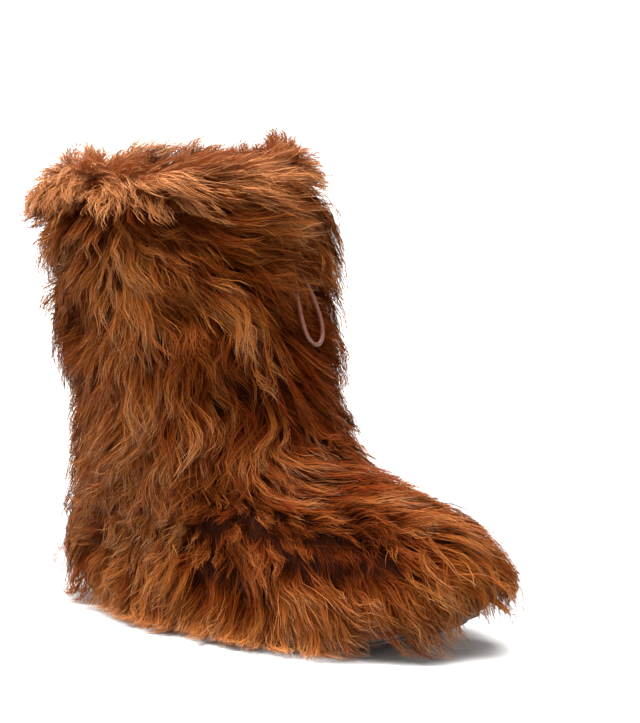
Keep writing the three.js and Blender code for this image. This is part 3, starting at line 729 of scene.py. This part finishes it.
def bells(u, v, rows, wide, tall):
    """The weights of rows of u, v at a place: a bell of the distance, wide round the boot and tall up it."""
    round_way = np.abs(np.mod(u, 1)[..., None] - rows[:, 0])
    round_way = np.minimum(round_way, 1 - round_way) / wide
    up_way = (v[..., None] - rows[:, 1]) / tall
    return np.exp(-0.5 * (round_way ** 2 + up_way ** 2))


def comb(u, v):
    """The combed direction at a place, in radians: the rows of COMB weighed by their bells."""
    weight = bells(u, v, COMB, 0.018, 0.03) + 0.02 * bells(u, v, COMB, 0.06, 0.08) + 1e-12
    return np.radians((weight * COMB[:, 2]).sum(-1) / weight.sum(-1))


def loft(u, v):
    """Lift and length at a place: the rows of LOFT weighed by their bells, with slow hills of a quarter."""
    weight = bells(u, v, LOFT, 0.045, 0.055) + 1e-9
    lift, length = ((weight * LOFT[:, k]).sum(-1) / weight.sum(-1) for k in (2, 3))
    hills = waves(np.stack([np.cos(2 * np.pi * u), np.sin(2 * np.pi * u)], -1) @ [1.3, 1.7], v * 5 + u, 61)
    return lift * (1 + 0.25 * hills), length


def hollow(u, v, depth=1.0):
    """depth in the middle of a hollow, fading to 0 over its size."""
    return (bells(u, v, HOLLOWS, HOLLOWS[:, 2], HOLLOWS[:, 3]) * depth).max(-1)


def amount(u, v, rows):
    """How much of THICKER or PAINTED_LIGHT_AND_SHADE there is at a place: the sum of its rows, each fading over its size."""
    return (bells(u, v, rows, rows[:, 2], rows[:, 3]) * rows[:, 4]).sum(-1)


TRIES = 24


def scatter(count, low, high, rng):
    """Places spread over the hide from v low to high: drawn in u and v, and kept by the area there and by
    how thick the hair grows, with few in the hollows."""
    u, v = rng.random(count * TRIES), rng.uniform(low, high, count * TRIES)
    _, _, round_way, up_way = hide_frame(u, v)
    area = size(np.cross(round_way, up_way)) * (1 + amount(u, v, THICKER))
    area = area * (1 - hollow(u, v, HOLLOWS[:, 4]))
    kept = np.flatnonzero(rng.random(len(u)) < area / area.max())[:count]
    return u[kept], v[kept]


# Guide lines: their steps, how much of their lift a hollow takes, how a ripple's pace and phase go with the
# wave's, the share of the height over which hair levels out towards the bottom edge, and how far outside and
# above the rim its hair is rooted, how far that reaches, and how much of what goes on is drawn back
GUIDE_STEPS = 12
HOLLOW_SINK = 0.7
RIPPLE = 1.4
RIPPLE_PHASE = 1.7
EDGE_ROLL = 0.15
RIM_OUT = 3.0
RIM_RISE = 3.5
RIM_REACH = 22.0
RIM_PULL = 0.75

# How high hair may stand under the drawcord, how much higher beside it, over what distance to its side, and
# how far above or below the hair the cord still counts
CORD_PATH = smooth_route(CORD_ROUTE, 2)
UNDER_CORD = 6.5
BESIDE_CORD = 30.0
CORD_MARGIN = 13.0
CORD_DEPTH = 25.0


def combed_guides(u, v, lean, length, lift, swing, turns, phase, crest):
    """Lines that walk over the hide from their roots, their outward directions, and how deep each step lies
    in a hollow. Each step turns from straight down by the comb, the lock's own lean and a wave,
    swing · cos(2π(turns · s + phase)). The line stands lift · (1 - (1 - s)³) off the hide at s of its length,
    with a ripple of crest, less in a hollow and under the drawcord, and hangs straight below the hide's
    bottom edge."""
    u, v = u.copy(), v.copy()
    line, out_way, low = [], [], []
    for k in range(GUIDE_STEPS + 1):
        s = k / GUIDE_STEPS
        point, out, round_way, up_way = hide_frame(u, v)
        out[..., 2] *= np.clip(v / EDGE_ROLL, 0, 1)
        out = unit(out)
        ripple = np.sin(2 * np.pi * (RIPPLE * turns * s + RIPPLE_PHASE * phase))
        low.append(hollow(u, v))
        stand = (lift * (1 - (1 - s) ** 3) + crest * s * ripple) * (1 - HOLLOW_SINK * low[-1])
        gap = point[..., None, :] - CORD_PATH
        above = (gap * out[..., None, :]).sum(-1)
        beside = size(gap - above[..., None] * out[..., None, :])
        away = np.hypot(beside, np.maximum(np.abs(above) - CORD_DEPTH, 0)).min(-1)
        stand = np.minimum(stand, UNDER_CORD + BESIDE_CORD * (1 - bell(away / CORD_MARGIN)))
        point = point + out * stand[..., None]
        point[..., 2] += np.minimum(v, 0) * COLLAR_HEIGHT
        line.append(point)
        out_way.append(out)
        way = comb(u, v) + lean + swing * np.cos(2 * np.pi * (turns * s + phase))
        pace = length / GUIDE_STEPS
        per_rise = np.where(v < 0, COLLAR_HEIGHT, size(up_way))
        u = u + np.sin(way) * pace / size(round_way)
        v = v - np.cos(way) * pace / per_rise
    return np.stack(line, -2), np.stack(out_way, -2), np.stack(low, -1)


def arched_guides(u, v, across, start, end, length, swing, turns, phase):
    """Lines that leave the collar in the air, and their outward directions, from across of the way over its
    rim from outside to inside. Their heading goes from start to end, each a share outwards, a share round the
    boot and a share up, and sways round the boot with swing · cos(2π(turns · s + phase)). What goes out past
    RIM_REACH is drawn back by RIM_PULL of it."""
    point, out, _, _ = hide_frame(u, v)
    flat = unit(out * [1, 1, 0])
    point = point + flat * mix(RIM_OUT, -HIDE, across)[..., None] + [0, 0, 1] * (RIM_RISE * across)[..., None]
    beside = np.stack([-flat[..., 1], flat[..., 0], np.zeros_like(u)], -1)
    upright = np.broadcast_to([0.0, 0.0, 1.0], flat.shape)
    line, out_way = [], []
    pace = (length / GUIDE_STEPS)[..., None]
    for k in range(GUIDE_STEPS + 1):
        s = k / GUIDE_STEPS
        out_share, round_share, up_share = np.moveaxis(mix(start, end, s ** 0.85), -1, 0)
        round_share = round_share + swing * np.cos(2 * np.pi * (turns * s + phase))
        way = flat * out_share[..., None] + beside * round_share[..., None] + upright * up_share[..., None]
        line.append(point)
        out_way.append(unit(flat * mix(0.7, -0.7, across)[..., None] + upright * 0.8))
        point = point + unit(way) * pace
    line = np.stack(line, -2)
    reach = ((line - line[..., :1, :]) * flat[..., None, :]).sum(-1, keepdims=True)
    line = line - flat[..., None, :] * RIM_PULL * np.maximum(reach - RIM_REACH, 0)
    return line, np.stack(out_way, -2)


# Hairs: their steps and width, a lock's half-width at the root and at the tip, the share that strays,
# and how they lie on the floor: the lowest height, what the outermost add, how far they are laid out
SEGMENTS = 5
HAIR_WIDTH = 0.32
ROOT_SPREAD = 3.4
TIP_SPREAD = 1.5
STRAY_SHARE = 0.125
FLOOR_GAP = 2.5
FLOOR_STACK = 3.5
LAID_OUT = 0.4


def hair_piece(name, line, out, tone, ends, per_line, rng, stands_for):
    """Flat tapered strands round guide lines. A strand keeps its own place in the lock, which narrows from
    ROOT_SPREAD to TIP_SPREAD, has its own length and a slight wave, and is a ribbon of SEGMENTS steps that
    ends in a point. STRAY_SHARE of them stray off with the square of their length. What would sink below
    FLOOR_GAP, or more for strands further out in a lock, is lifted and laid outwards on the floor. The map
    across is the strand's tone, and upwards its length, between the line's two ends."""
    count = len(line) * per_line
    owner = np.repeat(np.arange(len(line)), per_line)
    s = np.linspace(0, 1, SEGMENTS + 1)
    reach = rng.uniform(0.5, 1.0, count)[:, None] ** 0.7
    at = np.clip(s * reach * GUIDE_STEPS, 0, GUIDE_STEPS - 1e-6)
    i = at.astype(int)
    f = (at - i)[..., None]
    middle = line[owner[:, None], i] * (1 - f) + line[owner[:, None], i + 1] * f
    over = unit(out[owner[:, None], i] * (1 - f) + out[owner[:, None], i + 1] * f)
    way = unit(np.gradient(middle, axis=1))
    side = unit(np.cross(over, way))
    over = np.cross(way, side)
    turn = rng.uniform(0, 2 * np.pi, (count, 1))
    far = np.sqrt(rng.random((count, 1)))
    spread = mix(ROOT_SPREAD, TIP_SPREAD, s ** 0.7) * far
    kink = np.sin(2 * np.pi * (rng.uniform(0.8, 2.4, (count, 1)) * s + rng.random((count, 1)))) * s
    stray = (rng.random((count, 1)) < STRAY_SHARE) * s ** 2
    sideways = spread * np.cos(turn) + kink + stray * rng.normal(0, 5, (count, 1))
    outwards = 0.8 * spread * np.sin(turn) + stray * rng.uniform(1, 6, (count, 1))
    middle = middle + sideways[..., None] * side + outwards[..., None] * over
    sunk = np.maximum(FLOOR_GAP + FLOOR_STACK * far - middle[..., 2], 0)
    middle = middle + sunk[..., None] * (over * [LAID_OUT, LAID_OUT, 0] + [0, 0, 1])
    roll = rng.uniform(-0.9, 0.9, (count, 1))
    flat = side * np.cos(roll)[..., None] + over * np.sin(roll)[..., None]
    half = 0.5 * HAIR_WIDTH * rng.uniform(0.7, 1.25, (count, 1)) * (0.8 + 0.5 * s - 0.5 * s ** 2)
    left = middle[:, :-1] - flat[:, :-1] * half[:, :-1, None]
    right = middle[:, :-1] + flat[:, :-1] * half[:, :-1, None]
    pairs = np.stack([left, right], 2).reshape(count, -1, 3)
    points = np.concatenate([pairs, middle[:, -1:]], 1)
    each = points.shape[1]
    start = (np.arange(count) * each)[:, None, None]
    step = np.arange(SEGMENTS - 1)[None, :, None] * 2
    quads = (start + step + np.array([0, 2, 3, 1])).reshape(-1, 4)
    tips = (np.arange(count) * each)[:, None] + np.array([each - 3, each - 1, each - 2])
    shade = np.clip(tone[owner] + rng.normal(0, 0.16, count), 0.02, 0.98)[:, None]
    across = np.concatenate([np.tile([-0.004, 0.004], SEGMENTS), [0.0]])[None, :] + shade
    share = np.concatenate([np.repeat(s[:-1], 2), [1.0]])
    up = mix(ends[owner, :1], ends[owner, 1:], share) * 0.96 + 0.02
    uv = np.stack([across, up], -1)
    mesh_piece(name, points, quads, WOOL, stands_for, uv.reshape(-1, 2), tips)


# Locks: the lines in one and how far they come together, how far apart they are rooted and how low, and the
# part of the colours along a hair that the rim's hair shows, its pale part alone: painted light on the lit
# collar
SUBLOCKS = 6
GATHER = 0.42
LOCK_SPREAD = 4.4
LOWEST_ROOT = 0.09
RIM_ROOT, RIM_TIP = 0.75, 0.81


def gather(line):
    """Sub-locks drawn towards their lock's middle line, by GATHER of the way at the tip."""
    locks = line.reshape(-1, SUBLOCKS, GUIDE_STEPS + 1, 3)
    middle = locks.mean(1, keepdims=True)
    pull = GATHER * np.linspace(0, 1, GUIDE_STEPS + 1)[None, None, :, None] ** 1.3
    return mix(locks, middle, pull).reshape(line.shape)


def several(values, rng, share=0.0, off=0.0):
    """Each lock's value for its sub-locks, each off by a random share and by a random amount."""
    each = np.repeat(values, SUBLOCKS)
    return each * (1 + rng.uniform(-share, share, len(each))) + rng.normal(0, 1, len(each)) * off


def combed_locks(u, v, rng):
    """Guide lines of locks that lie on the hide, each lock of SUBLOCKS lines, with the lines' outward
    directions, tones and ends on the map. Lengths differ more near the floor, where the hair is ragged, and
    are shorter above a hollow. Hair that starts, ends or lies in a hollow is painted darker as painted shade,
    and the tones are painted paler or darker where the boot is lit or shaded."""
    count = len(u)
    lift, length = loft(u, v)
    below = np.maximum(hollow(u, v - 0.05), hollow(u, v - 0.09))
    ragged = np.clip((0.3 - v) / 0.2, 0, 1)
    length = length * (1 + rng.uniform(-0.18, 0.15, count) * (1 + 1.6 * ragged)) * (1 - 0.45 * below)
    lift = lift * rng.uniform(0.7, 1.12, count)
    # painted light and shade: the tone is painted paler or darker by the table of painted light and shade,
    # and painted darker in the hollows as painted shade
    tone = np.clip(rng.normal(0.46, 0.24, count) + amount(u, v, PAINTED_LIGHT_AND_SHADE) - 0.4 * hollow(u, v), 0.03, 0.97)
    _, _, round_way, up_way = hide_frame(u, v)
    per_round = np.repeat(size(round_way), SUBLOCKS)
    per_rise = np.repeat(size(up_way), SUBLOCKS)
    sub_u = np.repeat(u, SUBLOCKS) + rng.normal(0, LOCK_SPREAD, count * SUBLOCKS) / per_round
    sub_v = np.repeat(v, SUBLOCKS) + rng.normal(0, LOCK_SPREAD, count * SUBLOCKS) / per_rise
    sub_v = np.clip(sub_v, LOWEST_ROOT, 1.0)
    line, out, low = combed_guides(
        sub_u, sub_v, several(rng.normal(0, 0.15, count), rng, 0, 0.08), several(length, rng, 0.15),
        several(lift, rng) * (0.3 + 0.85 * rng.random(count * SUBLOCKS) ** 0.6),
        several(rng.uniform(0.2, 0.65, count), rng, 0.15),
        several(rng.uniform(0.9, 1.7, count), rng, 0.06), several(rng.random(count), rng, 0, 0.05),
        rng.uniform(0.6, 2.0, count * SUBLOCKS))
    # painted shade: hair in a hollow shows only the darker part of the colours along a hair
    shaded = np.maximum(low[:, 0], 0.8 * low[:, GUIDE_STEPS // 2:].max(-1))
    shaded = np.maximum(hollow(sub_u, sub_v - 0.03), shaded)
    ends = np.stack([np.zeros(len(sub_u)), 1 - 0.6 * shaded], -1)
    return gather(line), out, several(tone, rng, 0, 0.07), ends


def far_side(u):
    """1 in the middle of the rim's medial side, fading to 0 towards the front and the back."""
    return bell((np.mod(u, 1) - 0.82) / 0.15)


def arched_locks(u, v, across, start, end, length, rng):
    """Guide lines of locks that stand off the collar, each lock of SUBLOCKS lines, with the lines' outward
    directions, tones and ends on the map. They are curlier on the far side, and painted paler there and
    inwards, as painted light on hair that lies in shade."""
    count = len(u)
    far = far_side(u)
    # painted light: paler on the far side and inwards, where the hair lies in shade
    tone = np.clip(rng.normal(0.74, 0.15, count) + 0.2 * far + 0.2 * across, 0.05, 0.95)
    each = np.repeat(np.arange(count), SUBLOCKS)
    line, out = arched_guides(
        several(u, rng, 0, 0.011), np.clip(several(v, rng, 0, 0.012), CHANNEL, 1),
        np.clip(several(across, rng, 0, 0.12), 0, 1),
        start[each] + rng.normal(0, 0.12, (len(each), 3)), end[each] + rng.normal(0, 0.14, (len(each), 3)),
        several(length, rng, 0.2), several(rng.uniform(0.2, 0.6, count) + 0.4 * far, rng, 0.15),
        several(rng.uniform(0.9, 1.5, count) + 0.5 * far, rng, 0.06),
        several(rng.random(count), rng, 0, 0.05))
    # painted light: the rim's hair shows the pale part of the colours, more so on the far side and inwards
    root = RIM_ROOT + 0.05 * far + 0.1 * across
    ends = np.stack([root, RIM_TIP + 0.07 * across], -1)[each]
    return gather(line), out, several(tone, rng, 0, 0.07), ends


def both_halves(name, node, u, locks, per_line, rng):
    """Two pieces of hair from one set of locks: the lateral half and the medial half."""
    line, out, tone, ends = locks
    lateral = np.repeat(np.mod(u, 1) < 0.5, SUBLOCKS)
    for half, kept in (("lateral", lateral), ("medial", ~lateral)):
        hair_piece(f"{name}_{half}", line[kept], out[kept], tone[kept], ends[kept], per_line, rng, [node])


def combed_hair(name, node, count, low, high, per_line, seed):
    """The hair of one fleece piece: locks combed over the hide from v low to high."""
    rng = np.random.default_rng(seed)
    u, v = scatter(count, low, high, rng)
    both_halves(name, node, u, combed_locks(u, v, rng), per_line, rng)


# The rim's hair, given one by one: u, then the shares outwards, round the boot and up at the root and at the
# tip, and the length. On the near side it rolls over outwards and to the front, on the far side it stands.
RIM = np.array([
    (0.00, 0.2, 0.0, 0.8, 0.5, 0.1, 0.0, 28), (0.07, 0.6, -0.1, 0.35, 0.7, -0.2, -0.5, 33),
    (0.13, 0.65, 0.0, 0.0, 0.5, 0.1, -0.85, 38), (0.17, 0.5, 0.2, 0.3, 0.5, 0.55, -0.55, 37),
    (0.21, 0.4, 0.4, 0.45, 0.4, 0.9, -0.35, 36), (0.25, 0.3, 0.55, 0.45, 0.3, 1.0, -0.4, 38),
    (0.30, 0.3, 0.65, 0.4, 0.35, 1.0, -0.38, 45), (0.36, 0.3, 0.7, 0.35, 0.4, 1.0, -0.15, 42),
    (0.43, 0.4, 0.7, 0.4, 0.4, 0.9, -0.25, 40), (0.50, 0.4, 0.4, 0.7, 0.6, 0.6, -0.5, 38),
    (0.57, 0.3, 0.1, 0.9, 0.7, 0.1, -0.3, 35), (0.65, 0.0, -0.4, 1.0, 0.1, -0.8, -0.1, 34),
    (0.75, -0.1, -0.5, 1.0, -0.3, -1.0, -0.1, 34), (0.85, -0.1, -0.5, 1.0, -0.3, -1.0, 0.0, 34),
    (0.93, 0.0, -0.2, 1.0, 0.1, -0.6, 0.2, 32),
])


def rim(u):
    """The rows of RIM between their places, round the boot: headings at root and tip, and lengths."""
    columns = [np.interp(u, RIM[:, 0], RIM[:, k], period=1) for k in range(1, RIM.shape[1])]
    return np.stack(columns[:3], -1), np.stack(columns[3:6], -1), columns[6]


def collar_hair(lying, rolled, per_line, seed):
    """The collar's hair: some combed over the hide, and some that leaves its rim in the air. Rooted further
    out it rolls outwards and down, more so on the far side, and further in it stands."""
    rng = np.random.default_rng(seed)
    highest_lying, lowest_rolled = 0.985, 0.96
    u, v = scatter(lying, CHANNEL, highest_lying, rng)
    u2, v2 = scatter(rolled, lowest_rolled, 1.0, rng)
    across = rng.random(rolled)
    start, end, length = rim(np.mod(u2, 1))
    start = start + (0.5 - across)[:, None] * [0.7, 0, -0.3] + rng.normal(0, 0.14, start.shape)
    end = end + (0.5 - across)[:, None] * [1.2, 0, -1.0] + rng.normal(0, 0.17, end.shape)
    end = end + (far_side(u2) * np.clip(1.2 - 2 * across, 0, 1))[:, None] * [0.9, 0.6, -0.7]
    length = length * rng.uniform(0.7, 1.15, rolled)
    locks = zip(combed_locks(u, v, rng), arched_locks(u2, v2, across, start, end, length, rng))
    every = [np.concatenate(rows) for rows in locks]
    both_halves("collar_hair", "collar_fleece", np.concatenate([u, u2]), every, per_line, rng)


def undercoat():
    """The dense wool under the long hair: a soft-edged ring for each fleece piece, lumpy by a slow noise and
    lower in the hollows. Its wool is painted dark as painted shade under the hair, and paler on the collar
    as painted light."""
    crown = [(1, 5.0, 2.5), (1, 3, 4.5), (1, 0, 5), (1, -2, 4), (1, -HIDE, 1), (1, -HIDE, 0.4), (1, 0.3, 0.4)]
    depths = [("foot", RAND_TOP, ANKLE, 2.5, 5.0, [], PAINTED_SHADE_ROOTS), ("shaft", ANKLE, CHANNEL, 5.0, 5.0, [], PAINTED_SHADE_ROOTS),
              ("collar", CHANNEL, 1.0, 5.0, 5.5, crown, PAINTED_LIT_RIM_ROOTS)]
    seam = 0.002
    for part, low, high, deep_low, deep_high, top, wool in depths:
        levels = np.linspace(low + seam, high - seam, 18)
        depth = mix(deep_low, deep_high, (levels - low) / (high - low))
        outer = [(v, d, 0) for v, d in zip(levels, depth)]
        inner = [(v, 0.3, 0) for v in levels[::-1]]

        def lumps(u, k, levels=levels):
            """A slow noise, less the hollows, and a quarter of what the hair's lift differs from 14 mm."""
            u, k = np.broadcast_arrays(u, k)
            v = levels[np.minimum(k, len(levels) - 1)]
            bumps = waves(np.sin(2 * np.pi * u) * 6, k * 0.35 + 9 * u, 41) - 2 * hollow(u, v)
            bumps = bumps + 0.25 * (loft(u, v)[0] - 14)
            return np.where((k > 0) & (k < len(levels) - 1), bumps, 0)

        ring_piece(f"{part}_undercoat", outer + top + inner, 96, wool, [f"{part}_fleece"],
                   lumps)


undercoat()
combed_hair("foot_hair", "foot_fleece", 600, RAND_TOP, ANKLE, 10, 101)
combed_hair("shaft_hair", "shaft_fleece", 450, ANKLE, CHANNEL, 10, 202)
collar_hair(250, 350, 10, 303)


# Stage

def stage():
    """A wide pale floor, a pale even surround, and three broad soft lights: a key from the upper left of the
    camera, a stronger one from above, and a weak one from the right."""
    material, _, _ = finish("studio_floor", {
        "Base Color": linear("#F6F5F3"), "Roughness": 0.9, "Specular IOR Level": 0.1})
    reach = 60.0
    mesh = bpy.data.meshes.new("studio_floor")
    mesh.from_pydata([(-reach, -reach, 0), (reach, -reach, 0), (reach, reach, 0), (-reach, reach, 0)], [],
                     [(0, 1, 2, 3)])
    mesh.materials.append(material)
    floor = bpy.data.objects.new("studio_floor", mesh)
    bpy.context.scene.collection.objects.link(floor)
    floor.visible_diffuse = False
    world = bpy.data.worlds.new("studio_surround")
    world.use_nodes = True
    surround = world.node_tree.nodes["Background"]
    surround.inputs["Color"].default_value = linear("#FBFAF8")
    surround.inputs["Strength"].default_value = 0.42
    bpy.context.scene.world = world
    bpy.context.scene.view_settings.view_transform = "Standard"
    # name, degrees round from the lateral side towards the toe, degrees up, spread in degrees, strength
    lamps = [("key", -52, 44, 30, 3.45), ("top", 25, 80, 50, 7.0), ("fill", 95, 30, 60, 0.42)]
    for name, azimuth, elevation, spread, strength in lamps:
        way = towards(azimuth, elevation)
        data = bpy.data.lights.new(name, "SUN")
        data.angle = math.radians(spread)
        data.energy = strength
        lamp = bpy.data.objects.new(name, data)
        lamp.location = way * 2
        lamp.rotation_mode = "QUATERNION"
        lamp.rotation_quaternion = (-way).to_track_quat("-Z", "Y")
        bpy.context.scene.collection.objects.link(lamp)


stage()
